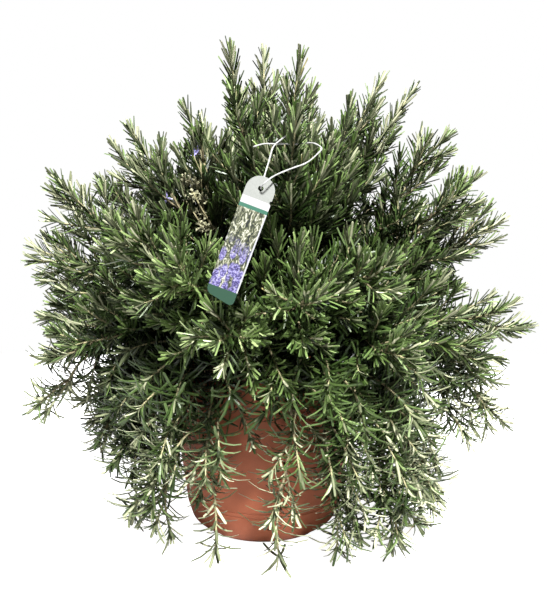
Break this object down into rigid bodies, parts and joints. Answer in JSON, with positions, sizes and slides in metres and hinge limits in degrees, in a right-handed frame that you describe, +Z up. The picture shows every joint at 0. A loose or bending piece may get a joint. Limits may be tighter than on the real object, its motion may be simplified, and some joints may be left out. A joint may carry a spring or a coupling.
{
  "type": "potted rosemary plant",
  "caption": "Bushy rosemary with upright, arching and trailing leafy stems over a terracotta-coloured plastic pot, with a hanging plant tag on a string.",
  "frame": {"origin": "centre of the pot's underside, where it stands", "axes": "+Z up along the pot's axis; -Y towards the side where the tag hangs, which the picture shows; +X to the right in it"},
  "size_m": [0.6334, 0.5202, 0.5824],
  "materials": {
    "pot_plastic": "terracotta-coloured, finely grained",
    "soil": "loose dark potting soil",
    "bark": "rough grey-brown bark",
    "leaf": "waxy green above and felted grey-green beneath",
    "tag_plastic": "thin printed plastic",
    "string": "white twisted string",
    "petal": "soft pale violet petals",
    "spent_flower": "dry buff calyxes"
  },
  "bodies": {
    "root": {"pot": "pot_plastic", "soil": "soil", "woody_framework": "bark", "leafy_stem_upright_01": "leaf", "leafy_stem_upright_02": "leaf", "leafy_stem_upright_03": "leaf", "leafy_stem_upright_04": "leaf", "leafy_stem_upright_05": "leaf", "leafy_stem_upright_06": "leaf", "leafy_stem_upright_07": "leaf", "leafy_stem_upright_08": "leaf", "leafy_stem_upright_09": "leaf", "leafy_stem_upright_10": "leaf", "leafy_stem_upright_11": "leaf", "leafy_stem_upright_12": "leaf", "leafy_stem_upright_13": "leaf", "leafy_stem_arching_14": "leaf", "leafy_stem_arching_15": "leaf", "leafy_stem_arching_16": "leaf", "leafy_stem_arching_17": "leaf", "leafy_stem_arching_18": "leaf", "leafy_stem_arching_19": "leaf", "leafy_stem_arching_20": "leaf", "leafy_stem_arching_21": "leaf", "leafy_stem_arching_22": "leaf", "leafy_stem_arching_23": "leaf", "leafy_stem_arching_24": "leaf", "leafy_stem_arching_25": "leaf", "leafy_stem_arching_26": "leaf", "leafy_stem_arching_27": "leaf", "leafy_stem_arching_28": "leaf", "leafy_stem_arching_29": "leaf", "leafy_stem_arching_30": "leaf", "leafy_stem_arching_31": "leaf", "leafy_stem_arching_32": "leaf", "leafy_stem_arching_33": "leaf", "leafy_stem_arching_34": "leaf", "leafy_stem_arching_35": "leaf", "leafy_stem_trailing_36": "leaf", "leafy_stem_trailing_37": "leaf", "leafy_stem_trailing_38": "leaf", "leafy_stem_trailing_39": "leaf", "leafy_stem_trailing_40": "leaf", "leafy_stem_trailing_41": "leaf", "leafy_stem_trailing_42": "leaf", "leafy_stem_trailing_43": "leaf", "leafy_stem_trailing_44": "leaf", "leafy_stem_trailing_45": "leaf", "leafy_stem_trailing_46": "leaf", "leafy_stem_trailing_47": "leaf", "leafy_stem_trailing_48": "leaf", "leafy_stem_trailing_49": "leaf", "leafy_stem_trailing_50": "leaf", "tag": "tag_plastic", "tag_string": "string", "blossom_1": "petal", "blossom_2": "petal", "spent_flowers": "spent_flower"}
  },
  "joints": []
}
